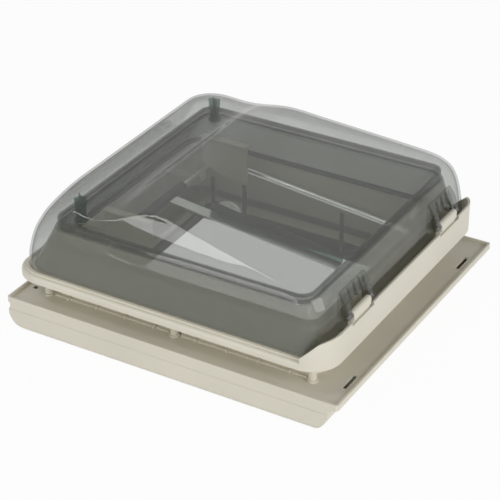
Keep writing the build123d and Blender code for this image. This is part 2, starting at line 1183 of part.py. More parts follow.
def hinge_base(y):
    """A ribbed plate on the dome's wall with an arm and a knuckle at each end."""
    with BuildPart() as base:
        for side in (-1, 1):
            near = y + side * (hinge_block_length / 2 + seat_gap)
            far = near + side * hinge_knuckle_length
            front = min(near, far)
            back = max(near, far)
            add(
                pin_along_y(hinge_axis_x, hinge_axis_z, front, back, hinge_knuckle_radius)
            )
            with BuildSketch(Plane.XZ.offset(-back)):
                with BuildLine():
                    Polyline(
                        (hinge_axis_x - hinge_knuckle_radius, hinge_axis_z),
                        (hinge_axis_x + hinge_arm_width / 2, hinge_axis_z),
                        (dome_right, hinge_base_bottom + hinge_arm_width / 2),
                        (hinge_base_top_x, hinge_base_top),
                        (hinge_base_top_x - cut_over, hinge_base_top),
                        (dome_right - 2 * hinge_arm_width, hinge_axis_z),
                        close=True,
                    )
                make_face()
            extrude(amount=back - front)
        with BuildSketch(Plane.XZ.offset(-y - hinge_base_length / 2)):
            with BuildLine():
                Polyline(
                    (dome_right - hinge_arm_width / 2, hinge_base_bottom),
                    (hinge_base_top_x, hinge_base_top),
                    (hinge_base_top_x - cut_over, hinge_base_top),
                    (dome_right - 2 * hinge_arm_width, hinge_base_bottom),
                    close=True,
                )
            make_face()
        extrude(amount=hinge_base_length)
        # upright ribs on the plate
        for number in range(hinge_rib_count):
            middle = y + hinge_base_length * ((number + 1) / (hinge_rib_count + 1) - 1 / 2)
            with BuildSketch(Plane.XZ.offset(-middle - hinge_base_thickness / 4)):
                with BuildLine():
                    Polyline(
                        (dome_right, hinge_base_bottom),
                        (hinge_base_top_x + hinge_base_thickness / 2, hinge_base_top),
                        (hinge_base_top_x - cut_over, hinge_base_top),
                        (dome_right - 2 * hinge_arm_width, hinge_base_bottom),
                        close=True,
                    )
                make_face()
            extrude(amount=hinge_base_thickness / 2)
        add(dome_solid, mode=Mode.SUBTRACT)
        add(
            box_between(
                dome_right - 5 * skin_thickness,
                dome_right,
                y - hinge_recess_length / 2,
                y + hinge_recess_length / 2,
                seam_level,
                hinge_recess_top - cut_over,
            ),
            mode=Mode.SUBTRACT,
        )
        add(
            pin_along_y(
                hinge_axis_x,
                hinge_axis_z,
                y - hinge_base_length,
                y + hinge_base_length,
                hinge_pin_radius + bore_clearance,
            ),
            mode=Mode.SUBTRACT,
        )
    return base.part


for name, y in (("front", -hinge_spacing), ("back", hinge_spacing)):
    save(hinge_block(y), f"hinge_block_{name}")
    save(hinge_base(y), f"hinge_base_{name}")
    with BuildPart() as hinge_pin:
        reach = hinge_block_length / 2 + seat_gap + hinge_knuckle_length
        add(
            pin_along_y(
                hinge_axis_x,
                hinge_axis_z,
                y - reach,
                y + reach,
                hinge_pin_radius,
            )
        )
    save(hinge_pin.part, f"hinge_pin_{name}")

# Opening bow: a bent rod with an eye at each end and a grip on its crossbar
bow_end_x = bow_pivot_x - bow_reach
bow_end_z = bow_pivot_z + bow_rise
bow_slope = math.hypot(bow_reach, bow_rise)
eye_x = bow_pivot_x - bow_reach * bow_pin_head / bow_slope
eye_z = bow_pivot_z + bow_rise * bow_pin_head / bow_slope
with BuildPart() as opening_bow:
    with BuildLine() as bow_path:
        FilletPolyline(
            (eye_x, -bow_half, eye_z),
            (bow_end_x, -bow_half, bow_end_z),
            (bow_end_x, bow_half, bow_end_z),
            (eye_x, bow_half, eye_z),
            radius=bow_bend_radius,
        )
    with BuildSketch(Plane(origin=bow_path.line @ 0, z_dir=bow_path.line % 0)):
        Circle(bow_rod_radius)
    sweep()
    for side in (-1, 1):
        add(
            pin_along_y(
                bow_pivot_x,
                bow_pivot_z,
                side * bow_half - bow_eye_length / 2,
                side * bow_half + bow_eye_length / 2,
                bow_eye_radius,
            )
        )
        add(
            pin_along_y(
                bow_pivot_x,
                bow_pivot_z,
                side * bow_half - bow_eye_length,
                side * bow_half + bow_eye_length,
                bow_pin_radius + bore_clearance,
            ),
            mode=Mode.SUBTRACT,
        )
save(opening_bow.part, "opening_bow")

with BuildPart() as bow_grip:
    add(
        pin_along_y(
            bow_end_x, bow_end_z, -grip_length / 2, grip_length / 2, grip_radius
        )
    )
    fillet(bow_grip.edges(), radius=grip_radius / 3)
    add(
        pin_along_y(bow_end_x, bow_end_z, -grip_length, grip_length, bow_rod_radius),
        mode=Mode.SUBTRACT,
    )
save(bow_grip.part, "bow_grip")

collar_inner_right = collar_right - collar_wall
collar_inner_left = collar_left + collar_wall
for name, side in (("front", -1), ("back", 1)):
    eye_face = side * (bow_half + bow_eye_length / 2 + seat_gap)
    cheek_face = eye_face + side * bow_bracket_thickness
    with BuildPart() as bow_bracket:
        add(
            box_between(
                bow_pivot_x - bow_eye_radius,
                collar_inner_right,
                min(eye_face, cheek_face),
                max(eye_face, cheek_face),
                bow_pivot_z - bow_bracket_height / 2,
                bow_pivot_z + bow_bracket_height / 2,
            )
        )
        add(
            pin_along_y(
                bow_pivot_x,
                bow_pivot_z,
                -dome_half,
                dome_half,
                bow_pin_radius,
            ),
            mode=Mode.SUBTRACT,
        )
        add(roof_frame.part, mode=Mode.SUBTRACT)
    save(bow_bracket.part, f"bow_bracket_{name}")
    inner_face = side * (bow_half - bow_eye_length / 2 - seat_gap)
    head_face = inner_face - side * bow_pin_radius
    with BuildPart() as bow_pin:
        add(
            pin_along_y(
                bow_pivot_x,
                bow_pivot_z,
                min(head_face, cheek_face),
                max(head_face, cheek_face),
                bow_pin_radius,
            )
        )
        add(
            pin_along_y(
                bow_pivot_x,
                bow_pivot_z,
                min(head_face, inner_face),
                max(head_face, inner_face),
                bow_pin_head,
            )
        )
    save(bow_pin.part, f"bow_pin_{name}")

    # spring clip that holds the closed bow's crossbar
    with BuildPart() as bow_clip:
        middle = side * clip_spacing
        cheek = bow_rod_radius + clip_gap
        add(
            box_between(
                collar_inner_left,
                bow_end_x + cheek + clip_wall,
                middle - clip_length / 2,
                middle + clip_length / 2,
                bow_end_z - cheek - clip_wall,
                bow_end_z - cheek,
            )
        )
        for left in (bow_end_x - cheek - clip_wall, bow_end_x + cheek):
            add(
                box_between(
                    left,
                    left + clip_wall,
                    middle - clip_length / 2,
                    middle + clip_length / 2,
                    bow_end_z - cheek,
                    bow_end_z + bow_rod_radius / 2,
                )
            )
        add(
            box_between(
                collar_inner_left,
                collar_inner_left + clip_wall,
                middle - clip_length / 2,
                middle + clip_length / 2,
                bow_end_z - cheek - clip_wall - clip_length,
                bow_end_z - cheek,
            )
        )
    save(bow_clip.part, f"bow_clip_{name}")


# Rails under the lid on which the bow's crossbar pushes: their lower edge follows the
# crossbar's path as the lid and the bow swing together
def crossbar_in_lid(share):
    """The crossbar's place in the lid's own frame at a share of the full opening."""
    lid_turn = math.radians(lid_open_degrees * share)
    bow_turn = math.radians(bow_open_degrees * share) + math.atan2(bow_rise, bow_reach)
    away_x = bow_pivot_x - bow_slope * math.cos(bow_turn) - hinge_axis_x
    away_z = bow_pivot_z + bow_slope * math.sin(bow_turn) - hinge_axis_z
    return (
        hinge_axis_x + away_x * math.cos(lid_turn) - away_z * math.sin(lid_turn),
        hinge_axis_z + away_x * math.sin(lid_turn) + away_z * math.cos(lid_turn),
    )


rail_clear = (bow_rod_radius + seat_gap) * rail_slope_share
rail_path = [crossbar_in_lid(step / 8) for step in range(9)]
rail_edge = [(x, z + rail_clear) for x, z in rail_path]
rail_edge.insert(0, (rail_edge[0][0] - rail_overlap, rail_edge[0][1]))
rail_edge.append((rail_edge[-1][0] + rail_overlap, rail_edge[-1][1]))
rail_top = tray_floor - tray_skin
for name, side in (("front", -1), ("back", 1)):
    with BuildPart() as bow_rail:
        with BuildSketch(Plane.XZ.offset(-side * rail_spacing - rail_thickness / 2)):
            with BuildLine():
                Polyline(
                    *rail_edge,
                    (rail_edge[-1][0], rail_top),
                    (rail_edge[0][0], rail_top),
                    close=True,
                )
            make_face()
        extrude(amount=rail_thickness)
        add(
            box_between(
                rail_edge[0][0],
                rail_edge[-1][0],
                side * rail_spacing - rail_width / 2,
                side * rail_spacing + rail_width / 2,
                rail_top - rail_thickness,
                rail_top,
            )
        )
    save(bow_rail.part, f"bow_rail_{name}")

# Stay down the middle of the lid: a sloping rail hung on legs, with a flat strip beside
# its foot and an arched grip between the first two legs
stay_run = stay_right - stay_left
with BuildPart() as stay_rail:
    with BuildSketch(Plane.XZ.offset(-stay_y - stay_thickness)):
        with BuildLine():
            Polyline(
                (stay_left, stay_left_top),
                (stay_right, stay_right_top),
                (stay_right, stay_right_top - stay_right_height),
                (stay_left, stay_left_top - stay_left_height),
                close=True,
            )
        make_face()
    extrude(amount=stay_thickness)
    for offset_x in (0, stay_leg_spacing, stay_run - stay_leg_width):
        add(
            box_between(
                stay_left + offset_x,
                stay_left + offset_x + stay_leg_width,
                stay_y,
                stay_y + stay_thickness,
                stay_left_top - (stay_left_top - stay_right_top) * offset_x / stay_run
                - stay_right_height,
                rail_top,
            )
        )
save(stay_rail.part, "stay_rail")

strip_slope = (
    stay_left_top - stay_left_height - stay_right_top + stay_right_height
) / stay_run
strip_left_top = (
    stay_left_top - stay_left_height + (stay_left - strip_left) * strip_slope
)
strip_right_top = stay_right_top - stay_right_height
with BuildPart() as stay_strip:
    with BuildSketch(Plane.XZ.offset(-stay_y)):
        with BuildLine():
            Polyline(
                (strip_left, strip_left_top),
                (stay_right, strip_right_top),
                (stay_right, strip_right_top - strip_thickness),
                (strip_left, strip_left_top - strip_thickness),
                close=True,
            )
        make_face()
    extrude(amount=strip_width)
save(stay_strip.part, "stay_strip")

arch_left = stay_left + stay_leg_width
arch_right = stay_left + stay_leg_spacing
arch_foot = stay_left_top - strip_slope * stay_leg_spacing - stay_left_height / 2
with BuildPart() as stay_grip:
    with BuildSketch(Plane.XZ.offset(-stay_y - stay_thickness)):
        with BuildLine():
            ThreePointArc(
                (arch_left, arch_foot),
                ((arch_left + arch_right) / 2, arch_foot + stay_arch_rise),
                (arch_right, arch_foot),
            )
            Line((arch_right, arch_foot), (arch_left, arch_foot))
        make_face()
    extrude(amount=stay_thickness)
    add(stay_rail.part, mode=Mode.SUBTRACT)
save(stay_grip.part, "stay_grip")
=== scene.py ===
"""A caravan roof vent: clear dome, pleated screens and finishes round the fixed frame."""

import json
import logging
import math
from dataclasses import dataclass, field
from enum import Enum
from typing import Protocol

import bmesh
import bpy
import numpy as np
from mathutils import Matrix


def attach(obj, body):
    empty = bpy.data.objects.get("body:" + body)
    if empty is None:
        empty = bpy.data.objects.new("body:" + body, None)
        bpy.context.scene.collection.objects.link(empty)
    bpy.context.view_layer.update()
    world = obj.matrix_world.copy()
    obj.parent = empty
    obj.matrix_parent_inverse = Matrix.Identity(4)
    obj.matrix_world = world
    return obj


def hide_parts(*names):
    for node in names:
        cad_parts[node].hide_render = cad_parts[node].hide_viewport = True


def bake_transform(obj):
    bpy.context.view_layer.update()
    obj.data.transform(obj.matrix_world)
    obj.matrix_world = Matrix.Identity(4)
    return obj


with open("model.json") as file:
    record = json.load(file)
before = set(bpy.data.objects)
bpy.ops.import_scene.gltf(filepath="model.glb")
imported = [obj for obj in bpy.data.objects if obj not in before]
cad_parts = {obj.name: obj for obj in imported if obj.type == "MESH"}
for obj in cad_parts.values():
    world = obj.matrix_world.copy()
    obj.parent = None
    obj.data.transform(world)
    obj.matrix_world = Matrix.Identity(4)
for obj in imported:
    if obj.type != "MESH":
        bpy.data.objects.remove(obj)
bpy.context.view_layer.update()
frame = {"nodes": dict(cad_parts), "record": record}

logging.basicConfig(level=logging.INFO, format="%(message)s")
LOG = logging.getLogger("roof_vent")

MM = 0.001
STEPS_PER_REACH = 48
WINDOW_STEPS = 33
SMOOTHING_PASSES = 3

Colour = tuple[float, float, float]
Point = tuple[float, float, float]


class Slot(Enum):
    """The record's material slots."""

    CREAM_PLASTIC = "cream_plastic"
    CLEAR_ACRYLIC = "clear_acrylic"
    SMOKED_ACRYLIC = "smoked_acrylic"
    FLYSCREEN_NET = "flyscreen_net"
    BLIND_FABRIC = "blind_fabric"
    SEAL_RUBBER = "seal_rubber"
    ZINC_STEEL = "zinc_steel"
    BOW_ALUMINIUM = "bow_aluminium"
    GRIP_PLASTIC = "grip_plastic"


class Sheen(Enum):
    """How rough a moulded or woven surface looks."""

    SATIN = 0.42
    MATTE = 0.6


def soft_curve(
    places: tuple[float, ...],
    values: tuple[float, ...],
    at: np.ndarray,
    reach: float,
) -> np.ndarray:
    """A line through knots, smoothed.

    The knots are joined by straight runs on a fine grid, which is then averaged several
    times over a window shorter than the reach, so every knee turns into a short curve.

    Args:
        places: The knots' places, rising.
        values: The knots' values.
        at: Where the line is read.
        reach: How far a knee is felt, in the unit of the places.

    Returns:
        The smoothed line's values at the asked places.
    """
    first, last = places[0], places[-1]
    fine = np.arange(first - 3 * reach, last + 3 * reach, reach / STEPS_PER_REACH)
    slope_in = (values[1] - values[0]) / (places[1] - first)
    slope_out = (values[-1] - values[-2]) / (last - places[-2])
    line = np.interp(fine, places, values)
    line = np.where(fine < first, values[0] + (fine - first) * slope_in, line)
    line = np.where(fine > last, values[-1] + (fine - last) * slope_out, line)
    window = np.ones(WINDOW_STEPS) / WINDOW_STEPS
    for _ in range(SMOOTHING_PASSES):
        padded = np.pad(line, WINDOW_STEPS // 2, mode="edge")
        line = np.convolve(padded, window, mode="valid")
    return np.interp(at, fine, line)


def rounded_outline(
    left: np.ndarray,
    right: np.ndarray,
    half: np.ndarray,
    radius: np.ndarray,
    straight: int,
    corner: int,
) -> np.ndarray:
    """Rounded rectangles, one for each height, with matching points.

    Each rectangle runs anticlockwise from the middle of its right edge. A corner's
    points are its centre plus the radius along an even quarter turn, and the edges
    between corners are divided evenly.

    Args:
        left: Left edges, one for each height.
        right: Right edges.
        half: Half widths across Y.
        radius: Corner radii.
        straight: Points along each edge.
        corner: Points along each corner.

    Returns:
        An array of heights by points by 2.
    """
    quarter = np.linspace(0, math.pi / 2, corner)
    corners = []
    for number, (side_x, side_y) in enumerate(((1, 1), (-1, 1), (-1, -1), (1, -1))):
        centre_x = right - radius if side_x > 0 else left + radius
        centre_y = side_y * (half - radius)
        turn = quarter + number * math.pi / 2
        x = centre_x[:, None] + radius[:, None] * np.cos(turn)
        y = centre_y[:, None] + radius[:, None] * np.sin(turn)
        corners.append(np.stack((x, y), axis=-1))
    share = np.linspace(0, 1, straight + 2)[1:-1][None, :, None]
    runs = []
    for number in range(4):
        before = corners[number - 1][:, -1:, :]
        after = corners[number][:, :1, :]
        runs += [before + (after - before) * share, corners[number]]
    return np.concatenate(runs, axis=1)


def grid_faces(rows: int, columns: int, closed: bool) -> np.ndarray:
    """The quads of a grid of points.

    Args:
        rows: Rows of points.
        columns: Points in each row.
        closed: Whether each row closes on itself.

    Returns:
        An array of quads by 4, which face outwards where the rows rise round an outline.
    """
    wide = columns if closed else columns - 1
    row, column = np.meshgrid(np.arange(rows - 1), np.arange(wide), indexing="ij")
    after = (column + 1) % columns
    quads = np.stack(
        (
            row * columns + column,
            row * columns + after,
            (row + 1) * columns + after,
            (row + 1) * columns + column,
        ),
        axis=-1,
    )
    return quads.reshape(-1, 4)


def surface(
    name: str, points: np.ndarray, faces: np.ndarray, smooth: bool
) -> bpy.types.Object:
    """A mesh object at the origin.

    Args:
        name: The object's name.
        points: Its points in millimetres.
        faces: Its quads, as numbers of points.
        smooth: Whether its faces are shaded smooth.

    Returns:
        The object, linked into the scene.
    """
    mesh = bpy.data.meshes.new(name)
    mesh.vertices.add(len(points))
    mesh.vertices.foreach_set("co", (points * MM).astype(np.float32).ravel())
    mesh.loops.add(faces.size)
    mesh.loops.foreach_set("vertex_index", faces.astype(np.int32).ravel())
    mesh.polygons.add(len(faces))
    starts = np.arange(len(faces), dtype=np.int32) * faces.shape[1]
    mesh.polygons.foreach_set("loop_start", starts)
    mesh.polygons.foreach_set("use_smooth", np.full(len(faces), smooth))
    mesh.update(calc_edges=True)
    mesh.validate()
    piece = bpy.data.objects.new(name, mesh)
    bpy.context.scene.collection.objects.link(piece)
    return piece


def thicken(piece: bpy.types.Object, name: str, thickness: float, offset: float) -> None:
    """Give a surface a wall of even thickness.

    Args:
        piece: The surface's object.
        name: The modifier's name.
        thickness: The wall in millimetres.
        offset: -1 puts the wall inside the surface, and 0 half on each side.
    """
    wall = piece.modifiers.new(name, "SOLIDIFY")
    wall.thickness = thickness * MM
    wall.offset = offset


@dataclass(frozen=True)
class Nodes:
    """A node tree with short ways to add to it."""

    tree: bpy.types.NodeTree

    @classmethod
    def emptied(cls, owner: bpy.types.Material | bpy.types.World) -> "Nodes":
        """Empty a material's or a world's node tree.

        Args:
            owner: What the tree belongs to.

        Returns:
            The emptied tree.
        """
        owner.use_nodes = True
        owner.node_tree.nodes.clear()
        return cls(owner.node_tree)

    def add(self, kind: str, **settings: object) -> bpy.types.Node:
        """Add a node.

        Args:
            kind: The node's type.
            **settings: Properties of the node to set.

        Returns:
            The node.
        """
        node = self.tree.nodes.new(kind)
        for key, value in settings.items():
            setattr(node, key, value)
        return node

    def feed(
        self, end: bpy.types.NodeSocket, value: bpy.types.NodeSocket | float | Colour
    ) -> None:
        """Give an input its value.

        Args:
            end: The input.
            value: A number or colour that is set on it, or an output that is joined to it.
        """
        if isinstance(value, bpy.types.NodeSocket):
            self.tree.links.new(value, end)
        elif isinstance(value, tuple):
            end.default_value = (*value, 1)
        else:
            end.default_value = value

    def shader(
        self, kind: str, **inputs: bpy.types.NodeSocket | float | Colour
    ) -> bpy.types.Node:
        """Add a shader and feed its inputs.

        Args:
            kind: The node's type.
            **inputs: Values by the input's name, with a low line for each space.

        Returns:
            The node.
        """
        node = self.add(kind)
        for name, value in inputs.items():
            self.feed(node.inputs[name.replace("_", " ")], value)
        return node

    def math(
        self, operation: str, *values: bpy.types.NodeSocket | float
    ) -> bpy.types.NodeSocket:
        """Work out a number.

        Args:
            operation: The Math node's operation.
            *values: Its inputs in order.

        Returns:
            The result's socket.
        """
        node = self.add("ShaderNodeMath", operation=operation)
        for end, value in zip(node.inputs, values):
            self.feed(end, value)
        return node.outputs[0]

    def mix(
        self,
        share: bpy.types.NodeSocket | float,
        first: bpy.types.NodeSocket,
        second: bpy.types.NodeSocket,
    ) -> bpy.types.NodeSocket:
        """Mix two shaders.

        Args:
            share: The second shader's share.
            first: The first shader.
            second: The second shader.

        Returns:
            The mixed shader's socket.
        """
        node = self.add("ShaderNodeMixShader")
        self.feed(node.inputs[0], share)
        self.feed(node.inputs[1], first)
        self.feed(node.inputs[2], second)
        return node.outputs[0]

    def noise(
        self, scale: float, detail: float, stretch: Point | None = None
    ) -> bpy.types.NodeSocket:
        """Noise on the piece's own coordinates.

        Args:
            scale: How fine it is, in cells for each metre.
            detail: How many finer layers are added.
            stretch: Factors along the three axes, or none.

        Returns:
            The noise's socket, from 0 to 1.
        """
        place = self.add("ShaderNodeTexCoord").outputs["Object"]
        if stretch:
            mapping = self.add("ShaderNodeMapping")
            mapping.inputs["Scale"].default_value = stretch
            self.feed(mapping.inputs["Vector"], place)
            place = mapping.outputs["Vector"]
        noise = self.shader("ShaderNodeTexNoise", Scale=scale, Detail=detail, Vector=place)
        return noise.outputs["Fac"]

    def ramp(
        self,
        value: bpy.types.NodeSocket,
        low: Colour,
        high: Colour,
        start: float = 0.3,
        end: float = 0.7,
    ) -> bpy.types.NodeSocket:
        """A colour that runs between two others.

        Args:
            value: What it follows.
            low: The colour up to the start.
            high: The colour from the end on.
            start: The value at which the run starts.
            end: The value at which it ends.

        Returns:
            The colour's socket.
        """
        ramp = self.add("ShaderNodeValToRGB")
        first, second = ramp.color_ramp.elements
        first.position, second.position = start, end
        first.color, second.color = (*low, 1), (*high, 1)
        self.feed(ramp.inputs["Fac"], value)
        return ramp.outputs["Color"]

    def cloudy(
        self, colour: Colour, depth: float, scale: float, detail: float
    ) -> bpy.types.NodeSocket:
        """A colour with slightly darker clouds.

        Args:
            colour: The lighter colour.
            depth: How much darker the clouds are, as a share.
            scale: How fine they are, in cells for each metre.
            detail: How many finer layers are added.

        Returns:
            The colour's socket.
        """
        low = tuple(part * (1 - depth) for part in colour)
        return self.ramp(self.noise(scale, detail), low, colour)

    def bump(self, value: bpy.types.NodeSocket, height: float) -> bpy.types.NodeSocket:
        """A bumped normal, of a real height in metres."""
        bump = self.shader("ShaderNodeBump", Strength=1.0, Distance=height, Height=value)
        return bump.outputs["Normal"]

    def seen(self, camera_share: float) -> bpy.types.NodeSocket:
        """How much of a surround's own white a ray finds.

        Args:
            camera_share: The share that the camera's own rays find.

        Returns:
            A socket that is the share on those rays, 1 on rays through or off a
            surface, and 0 on all others.
        """
        path = self.add("ShaderNodeLightPath")
        direct = self.math("MULTIPLY", path.outputs["Is Camera Ray"], camera_share)
        through, off = path.outputs["Is Transmission Ray"], path.outputs["Is Glossy Ray"]
        return self.math("MAXIMUM", direct, self.math("MAXIMUM", through, off))

    def show(
        self, shader: bpy.types.NodeSocket, output: str = "ShaderNodeOutputMaterial"
    ) -> None:
        """Send a shader to an output node of the given type."""
        self.feed(self.add(output).inputs["Surface"], shader)


class Finish(Protocol):
    """What every finish has: a name, and a way to make its material."""

    name: str

    def make(self) -> bpy.types.Material:
        """The finish's material."""


@dataclass(frozen=True)
class MouldedPlastic:
    """A moulded or woven surface with a fine grain and a slight cloudiness of colour."""

    name: str
    colour: Colour
    sheen: Sheen = Sheen.SATIN
    cloud: float = 0.03
    grain_scale: float = 1400.0
    grain_height: float = 0.00002
    grain_detail: float = 2.0
    cloud_scale: float = 9.0
    cloud_detail: float = 4.0
    specular: float = 0.4

    def make(self) -> bpy.types.Material:
        """Make the surface's material, clouded both ways from its colour.

        Returns:
            The material.
        """
        material = bpy.data.materials.new(self.name)
        nodes = Nodes.emptied(material)
        low = tuple(part * (1 - self.cloud) for part in self.colour)
        high = tuple(min(1.0, part * (1 + self.cloud)) for part in self.colour)
        clouds = nodes.noise(self.cloud_scale, self.cloud_detail)
        grain = nodes.noise(self.grain_scale, self.grain_detail)
        shader = nodes.shader(
            "ShaderNodeBsdfPrincipled",
            Base_Color=nodes.ramp(clouds, low, high),
            Roughness=self.sheen.value,
            Specular_IOR_Level=self.specular,
            Normal=nodes.bump(grain, self.grain_height),
        )
        nodes.show(shader.outputs["BSDF"])
        return material


@dataclass(frozen=True)
class FrostAndPaintedShade:
    """Frost on a sheet up to a height in metres, and painted shade above it: a dark colour
    painted on upright walls where they lie in shade.
    """

    below: float
    share: float = 0.5
    fade: float = 0.0015
    # Painted shade on the upright walls above the frost: its share and its dark colour.
    painted_shade_share: float = 0.55
    painted_shade_colour: Colour = (0.075, 0.07, 0.065)
    upright: float = 0.5

    def over(
        self, nodes: Nodes, share: float, colour: bpy.types.NodeSocket
    ) -> tuple[bpy.types.NodeSocket, bpy.types.NodeSocket]:
        """Lay the frost and the painted shade over a sheet's haze.

        The share falls from the frost's to the haze's across the frosted part's edge.
        Above the edge, a wall whose normal is nearer to level than to upright gets the
        painted shade's share on top, and the painted shade's dark colour. This painted
        shade stands in for the shade those walls lie in.

        Args:
            nodes: The material's nodes.
            share: The haze's share in the clear part.
            colour: The haze's colour.

        Returns:
            The share's and the colour's sockets.
        """
        place = nodes.add("ShaderNodeTexCoord")
        height = nodes.shader("ShaderNodeSeparateXYZ", Vector=place.outputs["Object"])
        lean = nodes.shader("ShaderNodeSeparateXYZ", Vector=place.outputs["Normal"])
        frost = nodes.shader(
            "ShaderNodeMapRange",
            From_Min=self.below - self.fade,
            From_Max=self.below + self.fade,
            To_Min=self.share,
            To_Max=share,
            Value=height.outputs["Z"],
        )
        flat = nodes.math("ABSOLUTE", lean.outputs["Z"])
        upright = nodes.math("LESS_THAN", flat, self.upright)
        above = nodes.math("GREATER_THAN", height.outputs["Z"], self.below)
        # Mask of the upright walls above the frost, which get the painted shade.
        wall = nodes.math("MULTIPLY", upright, above)
        frost_and_shade_share = nodes.math("MULTIPLY_ADD", wall, self.painted_shade_share, frost.outputs["Result"])
        # The haze's colour, turned to the painted shade's dark colour on those walls.
        painted_shade_mix = nodes.add("ShaderNodeMix", data_type="RGBA")
        nodes.feed(painted_shade_mix.inputs["Factor"], wall)
        nodes.feed(painted_shade_mix.inputs["A"], colour)
        nodes.feed(painted_shade_mix.inputs["B"], self.painted_shade_colour)
        return frost_and_shade_share, painted_shade_mix.outputs["Result"]


@dataclass(frozen=True)
class Acrylic:
    """Tinted acrylic sheet: the tint deepens where the surface turns away, with a little
    cloudy haze in it and a clear gloss on its outer side."""

    name: str
    tint: Colour
    edge_tint: Colour
    haze: Colour = (0.43, 0.435, 0.36)
    haze_share: float = 0.04
    frost: FrostAndPaintedShade | None = None
    facing_blend: float = 0.5
    tint_start: float = 0.52
    haze_depth: float = 0.04
    haze_scale: float = 7.0
    haze_detail: float = 3.0
    gloss: float = 0.75
    roughness: float = 0.03
    polish: float = 0.4
    polish_scale: float = 30.0
    polish_detail: float = 2.0
    refraction: float = 1.49

    def make(self) -> bpy.types.Material:
        """Make the acrylic's material: its body, and the gloss by the Fresnel share.

        Returns:
            The material.
        """
        material = bpy.data.materials.new(self.name)
        nodes = Nodes.emptied(material)
        fresnel = nodes.shader("ShaderNodeFresnel", IOR=self.refraction)
        back = nodes.add("ShaderNodeNewGeometry").outputs["Backfacing"]
        outer = nodes.math("SUBTRACT", 1.0, back)
        share = nodes.math("MULTIPLY", fresnel.outputs["Fac"], outer)
        nodes.show(nodes.mix(share, self.body(nodes), self.shine(nodes)))
        return material

    def body(self, nodes: Nodes) -> bpy.types.NodeSocket:
        """The tinted see-through sheet with its haze.

        The tint runs from the face's to the edge's by the facing angle.

        Args:
            nodes: The material's nodes.

        Returns:
            The shader's socket.
        """
        facing = nodes.shader("ShaderNodeLayerWeight", Blend=self.facing_blend)
        turned = facing.outputs["Facing"]
        tint = nodes.ramp(turned, self.tint, self.edge_tint, self.tint_start, 1.0)
        clear = nodes.shader("ShaderNodeBsdfTransparent", Color=tint)
        share = self.haze_share
        colour = nodes.cloudy(self.haze, self.haze_depth, self.haze_scale, self.haze_detail)
        # Frost low on the sheet, and painted shade on the upright walls above it.
        if self.frost:
            share, colour = self.frost.over(nodes, share, colour)
        cloud = nodes.shader("ShaderNodeBsdfDiffuse", Color=colour)
        return nodes.mix(share, clear.outputs["BSDF"], cloud.outputs["BSDF"])

    def shine(self, nodes: Nodes) -> bpy.types.NodeSocket:
        """The gloss, slightly uneven in polish.

        Args:
            nodes: The material's nodes.

        Returns:
            The shader's socket.
        """
        polish = nodes.shader(
            "ShaderNodeMapRange",
            To_Min=self.roughness * (1 - self.polish),
            To_Max=self.roughness * (1 + self.polish),
            Value=nodes.noise(self.polish_scale, self.polish_detail),
        )
        shine = nodes.shader(
            "ShaderNodeBsdfGlossy",
            Color=(self.gloss, self.gloss, self.gloss),
            Roughness=polish.outputs["Result"],
        )
        return shine.outputs["BSDF"]


@dataclass(frozen=True)
class Net:
    """Fine insect net, whose threads are too thin to see singly: an even dark veil."""

    name: str
    colour: Colour
    cover: float = 0.17
    roughness: float = 0.7
    cloud: float = 0.1
    cloud_scale: float = 20.0
    cloud_detail: float = 2.0

    def make(self) -> bpy.types.Material:
        """Make the net's material, which covers the share that its threads fill.

        Returns:
            The material.
        """
        material = bpy.data.materials.new(self.name)
        nodes = Nodes.emptied(material)
        colour = nodes.cloudy(self.colour, self.cloud, self.cloud_scale, self.cloud_detail)
        shader = nodes.shader(
            "ShaderNodeBsdfPrincipled",
            Base_Color=colour,
            Roughness=self.roughness,
            Alpha=self.cover,
        )
        nodes.show(shader.outputs["BSDF"])
        return material


@dataclass(frozen=True)
class Metal:
    """Satin metal with fine lines drawn along one direction."""

    name: str
    colour: Colour
    roughness: float
    stretch: Point = (1.0, 60.0, 60.0)
    line_scale: float = 40.0
    line_detail: float = 2.0
    line_height: float = 0.00001
    line_depth: float = 0.08

    def make(self) -> bpy.types.Material:
        """Make the metal's material, darker and lower along its lines.

        Returns:
            The material.
        """
        material = bpy.data.materials.new(self.name)
        nodes = Nodes.emptied(material)
        lines = nodes.noise(self.line_scale, self.line_detail, self.stretch)
        low = tuple(part * (1 - self.line_depth) for part in self.colour)
        shader = nodes.shader(
            "ShaderNodeBsdfPrincipled",
            Base_Color=nodes.ramp(lines, low, self.colour),
            Metallic=1.0,
            Roughness=self.roughness,
            Normal=nodes.bump(lines, self.line_height),
        )
        nodes.show(shader.outputs["BSDF"])
        return material


